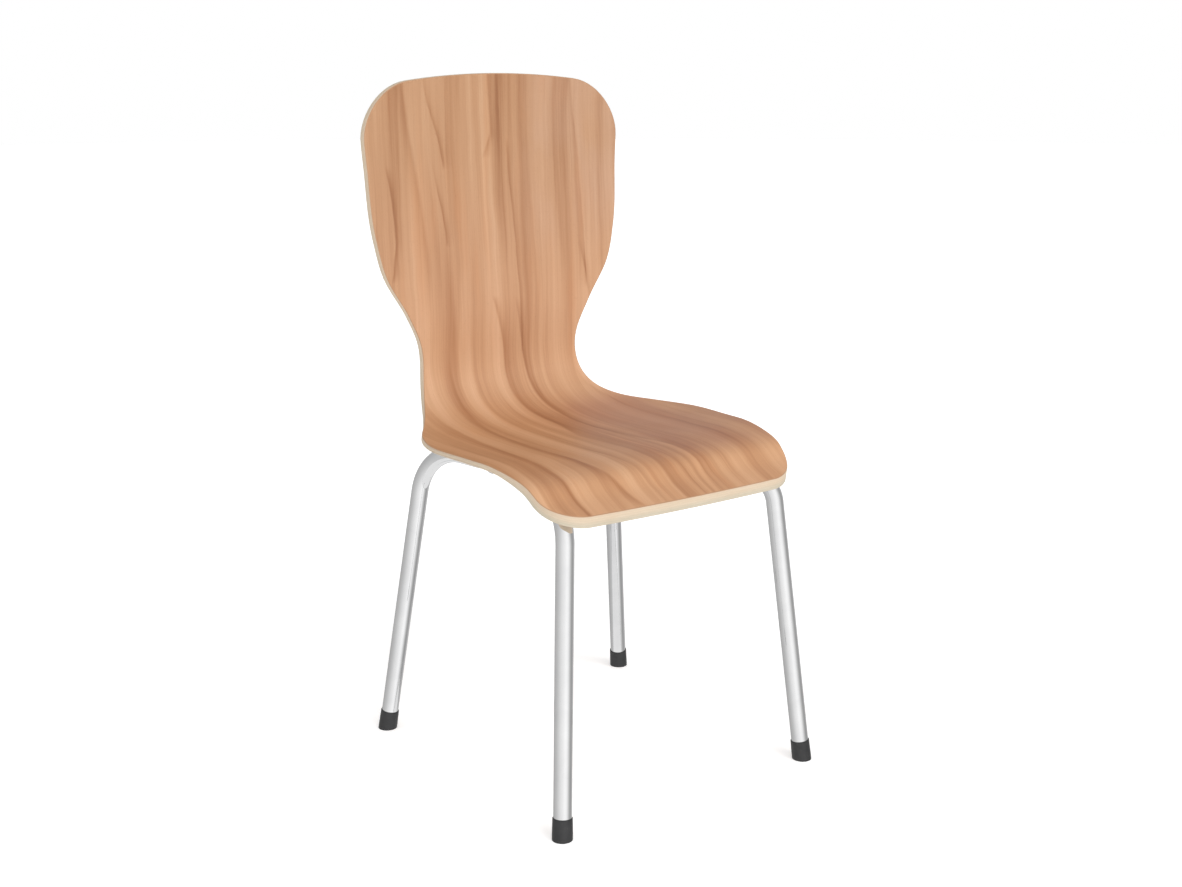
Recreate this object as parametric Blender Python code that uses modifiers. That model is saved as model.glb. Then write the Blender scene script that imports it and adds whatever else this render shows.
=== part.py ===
"""Stacking chair: a moulded plywood shell screwed to a frame of bent steel tube.

Metres, +Z up. The chair faces -Y, and the origin is on the floor under its middle.
"""
import math
from bisect import bisect_right

import bmesh
import bpy
import numpy as np
from mathutils import Matrix, Vector

GAP = 0.0003                    # clearance between pieces that touch
MERGE = 0.00001
SIDES = {"left": -1.0, "right": 1.0}
ENDS = ("front", "rear")

# Shell. Knots are (distance along the middle line from the front edge, value).
SHELL_THICKNESS = 0.0130        # at the front edge and under the seat
SIDE_THINNING = 0.48            # share lost at the seat's side edges
BACK_THINNING = 0.28            # share lost up the back
SIDE_THINNING_ZONE = (0.030, 0.120)
BACK_THINNING_ZONE = (0.320, 0.450)
SHELL_LENGTH = 0.822
SHELL_FRONT = Vector((0.0, -0.2000, 0.3781))
FRONT_TRIM_ZONE = 0.040         # the front edge is trimmed upright, fading out over this length
NORMAL_REACH = 0.0015           # distance over which the face's slope is measured
SLOPE_DEGREES = (
    (0.000, 20), (0.025, 25), (0.047, 39), (0.072, 13.5), (0.115, 1.3), (0.180, -1), (0.250, 0),
    (0.302, 4), (0.345, 12), (0.382, 30), (0.412, 58), (0.436, 80), (0.458, 90), (0.534, 88.4),
    (0.624, 85.4), (0.714, 87.4), (0.822, 90.4),
)
HALF_WIDTHS = (
    (0.000, 0.182), (0.065, 0.1925), (0.175, 0.203), (0.260, 0.203), (0.310, 0.184), (0.350, 0.158),
    (0.388, 0.137), (0.425, 0.125), (0.470, 0.124), (0.516, 0.144), (0.566, 0.174), (0.616, 0.187),
    (0.716, 0.194), (0.822, 0.200),
)
FRONT_CORNER_RADIUS = 0.043
TOP_CORNER_RADIUS = 0.072
FRONT_BOW = 0.0045              # how far the front edge's middle stands out
TOP_CROWN = 0.018               # how far the top edge's middle stands up
FRONT_BOW_FADE = 0.100          # length over which the front edge's bow fades out
TOP_CROWN_FADE = 0.200
SEAT_HALF_WIDTH = 0.200
BACK_HALF_WIDTH = 0.195
HOLLOW = 0.0080                 # how far the seat's side edges stand above its middle
HOLLOW_ZONE = (0.045, 0.150)    # the hollow grows from nothing to full here
EDGE_ROUNDING = 0.0010
LINE_STEPS = 1630
SHELL_COLUMNS = 16
SHELL_ROWS = 44
CORNER_ROWS = 6

# Frame of bent tube
TUBE_RADIUS = 0.011
TUBE_WALL = 0.0015
TUBE_SIDES_RESOLUTION = 6
FRONT_FOOT = Vector((0.1892, -0.2096, 0.0))
FRONT_SHOULDER = Vector((0.1580, -0.1735, 0.3710))
RAIL_MIDDLE = Vector((0.0980, -0.0121, 0.3850))
REAR_SHOULDER = Vector((0.1483, 0.1524, 0.3927))
REAR_FOOT = Vector((0.1954, 0.1924, 0.0))
FRONT_BEND_RADIUS = 0.036
MIDDLE_BEND_RADIUS = 0.080
REAR_BEND_RADIUS = 0.066
BEND_STEPS = {"shoulder": 9, "middle": 4}
CROSS_RAIL_RADIUS = 0.008

# Shell fastenings
FASTENING_X = 0.070
FASTENING_AT = {"front": 0.120, "rear": 0.232}     # along the shell's middle line
SPACER_RADIUS = 0.014
SPACER_HEIGHT = 0.005
SPACER_DRAFT = 0.0015
SPACER_AIR = 0.0009             # the spacer's flat top stays this far under the curved shell
SCREW_RADIUS = 0.0030
CLEARANCE_RADIUS = 0.0034
TAB_WIDTH = 0.030
TAB_LENGTH = 0.046
TAB_THICKNESS = 0.003
TAB_ROUNDING = 0.0006
TAB_OVERLAP = 0.011             # from the tab's end to the cross rail's axis
TAB_MARGIN = 0.012              # from the tab's other end to its screw hole
WASHER_RADIUS = 0.0062
WASHER_THICKNESS = 0.0012
HEAD_RADIUS = 0.0055
HEAD_HEIGHT = 0.0034
HEAD_CHAMFER = 0.0011
SOCKET_RADIUS = 0.0022
SOCKET_DEPTH = 0.0020
INSERT_RADIUS = 0.0050
INSERT_LENGTH = 0.0080
INSERT_BORE_DEPTH = 0.0084

# Stacking buffers, clipped under the rails
BUFFER_AT = {"front": 0.64, "rear": 0.220}          # share of its own straight, from the front
BUFFER_RADIUS = 0.0130
BUFFER_LENGTH = 0.020
BUFFER_LIP = 0.002              # how far the clip's ends reach above the tube's axis

# Ferrules
FERRULE_RADIUS = 0.0120
FERRULE_FOOT_RADIUS = 0.0124
FERRULE_HEIGHT = 0.026
FERRULE_FLOOR = 0.006
FERRULE_BELOW = 0.003           # moulded length that the flat floor cut takes off
TUBE_END = 0.0075               # height of the tube's end above the floor, along the leg

FLOOR_CUT_SIZE = (0.6, 0.6, 0.1)

CUTTER_REACH = 1.5              # how many times longer a cutter is than what it cuts through
TURN_STEPS = 24
HARDWARE_STEPS = 16
SOCKET_SIDES = 6


# ---------------------------------------------------------------- helpers

def clear_scene():
    for obj in list(bpy.data.objects):
        bpy.data.objects.remove(obj, do_unlink=True)


def new_collection(name):
    collection = bpy.data.collections.new(name)
    bpy.context.scene.collection.children.link(collection)
    return collection


def new_material(name, colour, roughness, metallic=0.0):
    material = bpy.data.materials.new(name)
    material.use_nodes = True
    shader = material.node_tree.nodes["Principled BSDF"]
    shader.inputs["Base Color"].default_value = (*colour, 1.0)
    shader.inputs["Roughness"].default_value = roughness
    shader.inputs["Metallic"].default_value = metallic
    return material


def add_object(name, mesh, material, collection, place=None, smooth_angle=35):
    obj = bpy.data.objects.new(name, mesh)
    collection.objects.link(obj)
    if place is not None:
        obj.matrix_world = place
    if material is not None:
        mesh.materials.append(material)
    mesh.shade_smooth()
    mesh.set_sharp_from_angle(angle=math.radians(smooth_angle))
    return obj


def mesh_from(bm, name):
    mesh = bpy.data.meshes.new(name)
    bm.to_mesh(mesh)
    bm.free()
    return mesh


def turned(name, profile, material, collection, place, steps):
    """A profile of (radius, height) points, outer side first from top to bottom, turned round Z."""
    bm = bmesh.new()
    points = [bm.verts.new((radius, 0.0, height)) for radius, height in profile]
    closed = profile[0][0] > 0.0 and profile[-1][0] > 0.0
    for start, end in zip(points, points[1:] + (points[:1] if closed else [])):
        bm.edges.new((start, end))
    obj = add_object(name, mesh_from(bm, name), material, collection, place)
    screw = obj.modifiers.new("turn", "SCREW")
    screw.axis = "Z"
    screw.steps = screw.render_steps = steps
    screw.use_merge_vertices = True
    screw.merge_threshold = MERGE
    screw.use_smooth_shade = True
    return obj


def cylinder_mesh(name, radius, height, segments):
    bm = bmesh.new()
    bmesh.ops.create_cone(
        bm, cap_ends=True, segments=segments, radius1=radius, radius2=radius, depth=height)
    return mesh_from(bm, name)


def box_mesh(name, size):
    bm = bmesh.new()
    bmesh.ops.create_cube(bm, size=1.0)
    bmesh.ops.scale(bm, vec=size, verts=bm.verts)
    return mesh_from(bm, name)


def add_cutter(name, mesh, place):
    cutter = add_object(name, mesh, None, cutters, place)
    cutter.hide_render = True
    cutter.display_type = "WIRE"
    return cutter


def cut(obj, cutter):
    boolean = obj.modifiers.new(cutter.name, "BOOLEAN")
    boolean.operation = "DIFFERENCE"
    boolean.object = cutter


def soften(obj, width, segments=2, angle=40):
    bevel = obj.modifiers.new("rounded_edges", "BEVEL")
    bevel.width = width
    bevel.segments = segments
    bevel.limit_method = "ANGLE"
    bevel.angle_limit = math.radians(angle)


def smooth_value(knots, at):
    """Reads a smooth curve that passes through (position, value) knots."""
    positions, values = zip(*knots)
    rates = np.gradient(values, positions)
    left = min(max(bisect_right(positions, at) - 1, 0), len(positions) - 2)
    span = positions[left + 1] - positions[left]
    t = (at - positions[left]) / span
    ease = t * t * (3.0 - 2.0 * t)
    return ((1.0 - ease) * values[left] + ease * values[left + 1]
            + span * t * (1.0 - t) * ((1.0 - t) * rates[left] - t * rates[left + 1]))


def ease_between(low, high, at):
    t = min(max((at - low) / (high - low), 0.0), 1.0)
    return t * t * (3.0 - 2.0 * t)


# ---------------------------------------------------------------- shell form

def trace_middle_line():
    """Adds up the slope along the shell's middle line, from the front edge to the top edge."""
    step = SHELL_LENGTH / LINE_STEPS
    y, z = SHELL_FRONT.y, SHELL_FRONT.z
    line = [(0.0, y, z)]
    for index in range(LINE_STEPS):
        slope = math.radians(smooth_value(SLOPE_DEGREES, (index + 0.5) * step))
        y += step * math.cos(slope)
        z += step * math.sin(slope)
        line.append(((index + 1) * step, y, z))
    return np.array(line)


def lateral_lift(x, along):
    """How far the seat and back, hollow from side to side, rise from their middle line."""
    return HOLLOW * (x / SEAT_HALF_WIDTH) ** 2 * ease_between(*HOLLOW_ZONE, along)


def sitter_normal(along):
    slope = math.radians(smooth_value(SLOPE_DEGREES, along))
    return Vector((0.0, -math.sin(slope), math.cos(slope)))


def shell_point(x, along):
    """A point on the shell's face."""
    y = float(np.interp(along, middle_line[:, 0], middle_line[:, 1]))
    z = float(np.interp(along, middle_line[:, 0], middle_line[:, 2]))
    return Vector((x, y, z)) + sitter_normal(along) * lateral_lift(x, along)


def row_positions():
    """Rows across the shell: even turns of arc in the rounded corners, even steps between."""
    turns = [math.radians(90.0 * index / CORNER_ROWS) for index in range(CORNER_ROWS)]
    front = [FRONT_CORNER_RADIUS * (1.0 - math.cos(turn)) for turn in turns]
    top = [SHELL_LENGTH - TOP_CORNER_RADIUS * (1.0 - math.cos(turn)) for turn in turns]
    count = SHELL_ROWS - 2 * CORNER_ROWS + 1
    middle = np.linspace(FRONT_CORNER_RADIUS, SHELL_LENGTH - TOP_CORNER_RADIUS, count)
    return front + list(middle) + top[::-1]


def half_width(along):
    """Half of the blank's width, with its corners rounded off."""
    width = smooth_value(HALF_WIDTHS, along)
    for radius, distance in ((FRONT_CORNER_RADIUS, along),
                             (TOP_CORNER_RADIUS, SHELL_LENGTH - along)):
        if distance < radius:
            width -= radius - math.sqrt(max(radius ** 2 - (radius - distance) ** 2, 0.0))
    return width


def end_shift(x, along):
    """Bows the front edge and crowns the top edge, fading out towards the waist."""
    side = (x / BACK_HALF_WIDTH) ** 2
    front = FRONT_BOW * side * (1.0 - ease_between(0.0, FRONT_BOW_FADE, along))
    top = -TOP_CROWN * side * ease_between(SHELL_LENGTH - TOP_CROWN_FADE, SHELL_LENGTH, along)
    return front + top


def thickness_share(x, along):
    """The ply is full in the front edge and the seat, and thins to the sides and up the back."""
    side = (abs(x) / SEAT_HALF_WIDTH) ** 3 * ease_between(*SIDE_THINNING_ZONE, along)
    back = ease_between(*BACK_THINNING_ZONE, along)
    return 1.0 - SIDE_THINNING * side * (1.0 - back) - BACK_THINNING * back


def face_normal(x, along):
    across = shell_point(x + NORMAL_REACH, along) - shell_point(x - NORMAL_REACH, along)
    forward = shell_point(x, along + NORMAL_REACH) - shell_point(x, along - NORMAL_REACH)
    return across.cross(forward).normalized()


def underside_point(x, along):
    """Square through the ply from the face, turning upright towards the trimmed front edge."""
    normal = face_normal(x, along)
    upright = 1.0 - ease_between(0.0, FRONT_TRIM_ZONE, along)
    through = normal.lerp(Vector((0.0, 0.0, 1.0)), upright).normalized()
    thickness = SHELL_THICKNESS * thickness_share(x, along)
    return shell_point(x, along) - through * thickness / normal.dot(through)


# ---------------------------------------------------------------- fastening places

def fastening_frame(end, side):
    """Z points from the shell's underside to its face, with the origin on the underside."""
    along = FASTENING_AT[end]
    normal = sitter_normal(along)
    origin = shell_point(SIDES[side] * FASTENING_X, along) - normal * SHELL_THICKNESS
    across = Vector((1.0, 0.0, 0.0))
    rotation = Matrix((across, normal.cross(across), normal)).transposed()
    return Matrix.Translation(origin) @ rotation.to_4x4()


def stack_heights():
    """Levels under the shell, all negative: spacer, tab and washer, each to its lower face."""
    spacer = -SPACER_AIR - SPACER_HEIGHT
    tab = spacer - GAP - TAB_THICKNESS
    washer = tab - GAP - WASHER_THICKNESS
    return spacer, tab, washer


def tab_shift(end):
    """The tab's middle, measured from its screw hole towards the nearer end of the chair."""
    distance = TAB_LENGTH / 2.0 - TAB_MARGIN
    return -distance if end == "front" else distance


def rail_shift(end):
    """The cross rail's axis, measured from the screw hole along the tab."""
    distance = TAB_LENGTH - TAB_MARGIN - TAB_OVERLAP
    return -distance if end == "front" else distance


# ---------------------------------------------------------------- tube paths

def corner_arc(before, corner, after, radius, steps):
    """Points of the arc that rounds off a corner, ends included."""
    towards = (corner - before).normalized()
    away = (after - corner).normalized()
    turn = towards.angle(away)
    start = corner - towards * radius * math.tan(turn / 2.0)
    centre = corner + (away - towards).normalized() * radius / math.cos(turn / 2.0)
    axis = towards.cross(away).normalized()
    arm = start - centre
    return [centre + Matrix.Rotation(turn * index / steps, 3, axis) @ arm
            for index in range(steps + 1)]


def side_frame_path(side, cut_back=0.0):
    """Middle line of one bent tube, from its front foot to its rear foot."""
    corners = [FRONT_FOOT, FRONT_SHOULDER, RAIL_MIDDLE, REAR_SHOULDER, REAR_FOOT]
    corners = [Vector((SIDES[side] * point.x, point.y, point.z)) for point in corners]
    front_foot, rear_foot = corners[0], corners[-1]
    front_end = front_foot + leg_axis("front", side) * cut_back
    rear_end = rear_foot + leg_axis("rear", side) * cut_back
    shoulder, middle = BEND_STEPS["shoulder"], BEND_STEPS["middle"]
    path = [front_end]
    path += corner_arc(*corners[0:3], FRONT_BEND_RADIUS, shoulder)
    path += corner_arc(*corners[1:4], MIDDLE_BEND_RADIUS, middle)
    path += corner_arc(*corners[2:5], REAR_BEND_RADIUS, shoulder)
    return path + [rear_end]


def rail_distance(y):
    """Distance from the chair's middle to a rail's axis, on the rail's straights."""
    shoulder = FRONT_SHOULDER if y < RAIL_MIDDLE.y else REAR_SHOULDER
    share = (y - RAIL_MIDDLE.y) / (shoulder.y - RAIL_MIDDLE.y)
    return RAIL_MIDDLE.x + share * (shoulder.x - RAIL_MIDDLE.x)


def leg_axis(end, side):
    """Unit vector up a leg."""
    foot, shoulder = {
        "front": (FRONT_FOOT, FRONT_SHOULDER), "rear": (REAR_FOOT, REAR_SHOULDER)}[end]
    axis = (shoulder - foot).normalized()
    return Vector((SIDES[side] * axis.x, axis.y, axis.z))


def foot_frame(end, side):
    foot = {"front": FRONT_FOOT, "rear": REAR_FOOT}[end]
    origin = Vector((SIDES[side] * foot.x, foot.y, foot.z))
    rotation = leg_axis(end, side).to_track_quat("Z", "Y").to_matrix().to_4x4()
    return Matrix.Translation(origin) @ rotation


def tube_curve(name, path, radius, filled, material, collection):
    curve = bpy.data.curves.new(name, "CURVE")
    curve.dimensions = "3D"
    curve.bevel_depth = radius
    curve.bevel_resolution = TUBE_SIDES_RESOLUTION
    curve.use_fill_caps = filled
    spline = curve.splines.new("POLY")
    spline.points.add(len(path) - 1)
    for point, place in zip(spline.points, path):
        point.co = (*place, 1.0)
    obj = bpy.data.objects.new(name, curve)
    collection.objects.link(obj)
    if material is not None:
        curve.materials.append(material)
    return obj


def curve_to_mesh(obj, collection):
    """Swaps a capped tube curve for a mesh object with its caps welded on."""
    bpy.context.view_layer.update()
    evaluated = obj.evaluated_get(bpy.context.evaluated_depsgraph_get())
    mesh = bpy.data.meshes.new_from_object(evaluated)
    bm = bmesh.new()
    bm.from_mesh(mesh)
    bmesh.ops.remove_doubles(bm, verts=bm.verts, dist=MERGE)
    bm.to_mesh(mesh)
    bm.free()
    name, place = obj.name, obj.matrix_world.copy()
    bpy.data.objects.remove(obj, do_unlink=True)
    mesh_object = bpy.data.objects.new(name, mesh)
    mesh_object.matrix_world = place
    collection.objects.link(mesh_object)
    return mesh_object


# ---------------------------------------------------------------- pieces

def build_shell():
    """One moulded blank: a flat grid laid on the shell's face, then given its thickness."""
    rows = row_positions()
    bm = bmesh.new()
    bmesh.ops.create_grid(bm, x_segments=SHELL_COLUMNS, y_segments=SHELL_ROWS, size=1.0)
    across, lengthwise = (bm.verts.layers.float.new(name) for name in ("across", "lengthwise"))
    for vertex in bm.verts:
        row = rows[round((vertex.co.y + 1.0) / 2.0 * SHELL_ROWS)]
        vertex[across] = vertex.co.x * half_width(row)
        vertex[lengthwise] = row + end_shift(vertex[across], row)
        vertex.co = shell_point(vertex[across], vertex[lengthwise])
    extruded = bmesh.ops.extrude_face_region(bm, geom=bm.faces[:])
    for item in extruded["geom"]:
        if isinstance(item, bmesh.types.BMVert):
            item.co = underside_point(item[across], item[lengthwise])
    bmesh.ops.recalc_face_normals(bm, faces=bm.faces)
    for layer in (across, lengthwise):
        bm.verts.layers.float.remove(layer)
    shell = add_object("shell", mesh_from(bm, "shell"), wood, parts)
    soften(shell, EDGE_ROUNDING)
    for end in ENDS:
        for side in SIDES:
            bore = cylinder_mesh(
                "bore", INSERT_RADIUS + GAP, INSERT_BORE_DEPTH * 2.0, HARDWARE_STEPS)
            cut(shell, add_cutter(f"bore_{end}_{side}", bore, fastening_frame(end, side)))


def build_side_frame(side):
    """A front leg, a rail under the seat and a rear leg, bent from one tube."""
    name = f"side_frame_{side}"
    path = side_frame_path(side, cut_back=TUBE_END)
    tube = tube_curve(name, path, TUBE_RADIUS, False, chrome, parts)
    wall = tube.modifiers.new("tube_wall", "SOLIDIFY")
    wall.thickness = TUBE_WALL
    wall.offset = -1.0
    wall.use_even_offset = True


def build_cross_rail(end, coping):
    """A thinner tube between the two rails, its ends coped to fit round them."""
    place = fastening_frame(end, "right")
    tab_level = stack_heights()[1]
    axis = place @ Vector((0.0, rail_shift(end), tab_level - GAP - CROSS_RAIL_RADIUS))
    turn = Matrix.Rotation(math.radians(90.0), 4, "Y")
    centre = Matrix.Translation((0.0, axis.y, axis.z)) @ turn
    name = f"cross_rail_{end}"
    length = 2.0 * rail_distance(axis.y)
    outside = cylinder_mesh(name, CROSS_RAIL_RADIUS, length, HARDWARE_STEPS)
    rail = add_object(name, outside, chrome, parts, centre)
    hollow = cylinder_mesh(
        "hollow", CROSS_RAIL_RADIUS - TUBE_WALL, length * CUTTER_REACH, HARDWARE_STEPS)
    cut(rail, add_cutter(f"hollow_{end}", hollow, centre))
    for cutter in coping:
        cut(rail, cutter)


def build_coping_cutters():
    cutters_made = []
    for side in SIDES:
        path = side_frame_path(side)
        name = f"coping_{side}"
        curve = tube_curve(name, path, TUBE_RADIUS + GAP, True, None, cutters)
        cutter = curve_to_mesh(curve, cutters)
        cutter.hide_render = True
        cutter.display_type = "WIRE"
        cutters_made.append(cutter)
    return cutters_made


def build_fastening(end, side):
    """Insert nut in the shell, spacer, welded tab, washer and screw, all on one axis."""
    place = fastening_frame(end, side)
    spacer_level, tab_level, washer_level = stack_heights()
    label = f"{end}_{side}"

    turned(f"insert_nut_{label}", [
        (INSERT_RADIUS, INSERT_LENGTH), (INSERT_RADIUS, GAP),
        (CLEARANCE_RADIUS, GAP), (CLEARANCE_RADIUS, INSERT_LENGTH),
    ], zinc, parts, place, HARDWARE_STEPS)

    turned(f"spacer_{label}", [
        (SPACER_RADIUS - SPACER_DRAFT, -SPACER_AIR), (SPACER_RADIUS, spacer_level),
        (CLEARANCE_RADIUS, spacer_level), (CLEARANCE_RADIUS, -SPACER_AIR),
    ], black_plastic, parts, place, TURN_STEPS)

    tab_place = place @ Matrix.Translation(
        (0.0, tab_shift(end), tab_level + TAB_THICKNESS / 2.0))
    tab_mesh = box_mesh("tab", (TAB_WIDTH, TAB_LENGTH, TAB_THICKNESS))
    tab = add_object(f"mounting_tab_{label}", tab_mesh, chrome, parts, tab_place)
    soften(tab, TAB_ROUNDING, segments=1)
    hole = cylinder_mesh(
        "hole", CLEARANCE_RADIUS, 2.0 * TAB_THICKNESS * CUTTER_REACH, HARDWARE_STEPS)
    hole_place = place @ Matrix.Translation((0.0, 0.0, tab_level))
    cut(tab, add_cutter(f"tab_hole_{label}", hole, hole_place))

    turned(f"washer_{label}", [
        (WASHER_RADIUS, washer_level + WASHER_THICKNESS), (WASHER_RADIUS, washer_level),
        (CLEARANCE_RADIUS, washer_level), (CLEARANCE_RADIUS, washer_level + WASHER_THICKNESS),
    ], zinc, parts, place, HARDWARE_STEPS)

    under_head = washer_level - GAP
    head_end = under_head - HEAD_HEIGHT
    screw = turned(f"screw_{label}", [
        (0.0, INSERT_LENGTH), (SCREW_RADIUS, INSERT_LENGTH), (SCREW_RADIUS, under_head),
        (HEAD_RADIUS, under_head), (HEAD_RADIUS, head_end + HEAD_CHAMFER),
        (HEAD_RADIUS - HEAD_CHAMFER, head_end), (0.0, head_end),
    ], zinc, parts, place, HARDWARE_STEPS)
    socket = cylinder_mesh("socket", SOCKET_RADIUS, SOCKET_DEPTH * 2.0, SOCKET_SIDES)
    socket_place = place @ Matrix.Translation((0.0, 0.0, head_end))
    cut(screw, add_cutter(f"socket_{label}", socket, socket_place))


def build_stacking_buffer(end, side):
    """A plastic saddle clipped under a rail, where the chair rests on the one below it."""
    rail_ends = (FRONT_SHOULDER, RAIL_MIDDLE) if end == "front" else (RAIL_MIDDLE, REAR_SHOULDER)
    start, finish = (Vector((SIDES[side] * p.x, p.y, p.z)) for p in rail_ends)
    centre = start.lerp(finish, BUFFER_AT[end])
    along = (finish - start).normalized()
    across = along.cross(Vector((0.0, 0.0, 1.0))).normalized()
    rotation = Matrix((across, across.cross(-along), -along)).transposed()
    place = Matrix.Translation(centre) @ rotation.to_4x4()
    name = f"stacking_buffer_{end}_{side}"
    mesh = cylinder_mesh(name, BUFFER_RADIUS, BUFFER_LENGTH, TURN_STEPS)
    saddle = add_object(name, mesh, black_plastic, parts, place)
    bore = cylinder_mesh("bore", TUBE_RADIUS + GAP, BUFFER_LENGTH * CUTTER_REACH, TURN_STEPS)
    cut(saddle, add_cutter(f"buffer_bore_{end}_{side}", bore, place))
    wide = 2.0 * BUFFER_RADIUS
    top = box_mesh("top", (wide * CUTTER_REACH, wide, BUFFER_LENGTH * CUTTER_REACH))
    upward = rotation.inverted() @ Vector((0.0, 0.0, 1.0))
    lift = Matrix.Translation(upward * (BUFFER_RADIUS + BUFFER_LIP))
    cut(saddle, add_cutter(f"buffer_mouth_{end}_{side}", top, place @ lift))


def build_ferrule(end, side, floor):
    """A moulded cup on a leg's end, its underside flat on the floor."""
    bore = TUBE_RADIUS + GAP
    rim = FERRULE_RADIUS - bore
    ferrule = turned(f"ferrule_{end}_{side}", [
        (FERRULE_RADIUS - rim / 2.0, FERRULE_HEIGHT),
        (FERRULE_RADIUS, FERRULE_HEIGHT - rim / 2.0),
        (FERRULE_FOOT_RADIUS, FERRULE_FLOOR),
        (FERRULE_FOOT_RADIUS, -FERRULE_BELOW),
        (0.0, -FERRULE_BELOW), (0.0, FERRULE_FLOOR), (bore, FERRULE_FLOOR), (bore, FERRULE_HEIGHT),
    ], black_rubber, parts, foot_frame(end, side), TURN_STEPS)
    cut(ferrule, floor)


def build_chair():
    build_shell()
    coping = build_coping_cutters()
    floor_place = Matrix.Translation((0.0, 0.0, -FLOOR_CUT_SIZE[2] / 2.0))
    floor = add_cutter("floor_cut", box_mesh("floor_cut", FLOOR_CUT_SIZE), floor_place)
    for side in SIDES:
        build_side_frame(side)
    for end in ENDS:
        build_cross_rail(end, coping)
        for side in SIDES:
            build_fastening(end, side)
            build_stacking_buffer(end, side)
            build_ferrule(end, side, floor)


clear_scene()
parts = new_collection("stacking_chair")
cutters = new_collection("cutters")
wood = new_material("moulded_plywood", (0.62, 0.34, 0.18), 0.42)
chrome = new_material("chromed_steel", (0.80, 0.80, 0.82), 0.12, 1.0)
zinc = new_material("zinc_plated_steel", (0.62, 0.63, 0.65), 0.35, 1.0)
black_plastic = new_material("black_plastic", (0.02, 0.02, 0.022), 0.45)
black_rubber = new_material("black_rubber", (0.03, 0.03, 0.032), 0.55)
middle_line = trace_middle_line()
build_chair()
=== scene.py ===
"""Stacking chair: its looks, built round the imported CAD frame.

Metres, +Z up. The chair faces -Y, and the origin is on the floor under its middle.
"""

import math

import bmesh
import bpy
import numpy as np
from mathutils import Matrix, Vector


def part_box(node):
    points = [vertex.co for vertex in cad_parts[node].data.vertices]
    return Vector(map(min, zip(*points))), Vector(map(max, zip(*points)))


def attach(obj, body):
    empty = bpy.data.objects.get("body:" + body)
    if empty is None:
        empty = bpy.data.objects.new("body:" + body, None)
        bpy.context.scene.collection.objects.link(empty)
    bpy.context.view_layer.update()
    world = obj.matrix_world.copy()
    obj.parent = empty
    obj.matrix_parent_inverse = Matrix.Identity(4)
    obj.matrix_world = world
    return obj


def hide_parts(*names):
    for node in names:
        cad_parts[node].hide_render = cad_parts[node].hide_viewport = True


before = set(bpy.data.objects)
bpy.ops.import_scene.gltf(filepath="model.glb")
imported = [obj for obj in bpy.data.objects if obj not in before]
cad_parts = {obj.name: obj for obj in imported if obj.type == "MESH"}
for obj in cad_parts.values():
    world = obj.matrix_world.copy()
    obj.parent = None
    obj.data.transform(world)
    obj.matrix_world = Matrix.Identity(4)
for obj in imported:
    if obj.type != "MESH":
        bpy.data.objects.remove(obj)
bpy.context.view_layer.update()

SIDES = {"left": -1.0, "right": 1.0}
ENDS = ("front", "rear")

# Shell form, the same as the CAD model's. Knots are (distance from the front edge, value).
SHELL_THICKNESS = 0.0130
SIDE_THINNING = 0.48
BACK_THINNING = 0.28
SIDE_THINNING_ZONE = (0.030, 0.120)
BACK_THINNING_ZONE = (0.320, 0.450)
SHELL_LENGTH = 0.822
SHELL_FRONT = Vector((0.0, -0.2000, 0.3781))
FRONT_TRIM_ZONE = 0.040         # where the front edge turns to stand upright
SLOPE_DEGREES = (
    (0.000, 20), (0.025, 25), (0.047, 39), (0.072, 13.5), (0.115, 1.3), (0.180, -1), (0.250, 0),
    (0.302, 4), (0.345, 12), (0.382, 30), (0.412, 58), (0.436, 80), (0.458, 90), (0.534, 88.4),
    (0.624, 85.4), (0.714, 87.4), (0.822, 90.4),
)
HALF_WIDTHS = (
    (0.000, 0.182), (0.065, 0.1925), (0.175, 0.203), (0.260, 0.203), (0.310, 0.184), (0.350, 0.158),
    (0.388, 0.137), (0.425, 0.125), (0.470, 0.124), (0.516, 0.144), (0.566, 0.174), (0.616, 0.187),
    (0.716, 0.194), (0.822, 0.200),
)
FRONT_CORNER_RADIUS = 0.043
TOP_CORNER_RADIUS = 0.072
FRONT_BOW = 0.0045
TOP_CROWN = 0.018
FRONT_BOW_FADE = 0.100
TOP_CROWN_FADE = 0.200
SEAT_HALF_WIDTH = 0.200
BACK_HALF_WIDTH = 0.195
HOLLOW = 0.0080
HOLLOW_ZONE = (0.045, 0.150)
LINE_STEPS = 1630
NORMAL_REACH = 0.0015           # distance over which the face's slope is measured
COLUMNS = 52                    # faces of the shell's grid from side to side
MIDDLE_ROWS = 120
CORNER_ROWS = 14
EDGE_RADIUS = 0.0012            # sanded rounding of the shell's edges
EDGE_TURNS = 4
EDGE_MARGIN = 0.0008            # narrow strip beside each rounding that keeps its shading crisp
RIM_LEVELS = 4
FACE, UNDERSIDE, RIM = 0, 1, 2  # the shell's material slots
SHAPE_TOLERANCE = 0.002         # largest difference from the CAD shell's box

# Holes for the insert nuts, on the underside
FASTENING_X = 0.070
FASTENING_AT = {"front": 0.120, "rear": 0.232}
BORE_RADIUS = 0.0053
BORE_DEPTH = 0.0084
BORE_SIDES = 32

# Bent tube
TUBE_RADIUS = 0.011
TUBE_WALL = 0.0015
FRONT_FOOT = Vector((0.1892, -0.2096, 0.0))
FRONT_SHOULDER = Vector((0.1580, -0.1735, 0.3710))
RAIL_MIDDLE = Vector((0.0980, -0.0121, 0.3850))
REAR_SHOULDER = Vector((0.1483, 0.1524, 0.3927))
REAR_FOOT = Vector((0.1954, 0.1924, 0.0))
BEND_RADII = (0.036, 0.080, 0.066)
BEND_STEPS = (30, 14, 30)
TUBE_SIDES = 40
TUBE_END = 0.0075
CROSS_RAIL_RADIUS = 0.008
CROSS_RAIL_SIDES = 36
COPE_GAP = 0.0003

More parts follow.
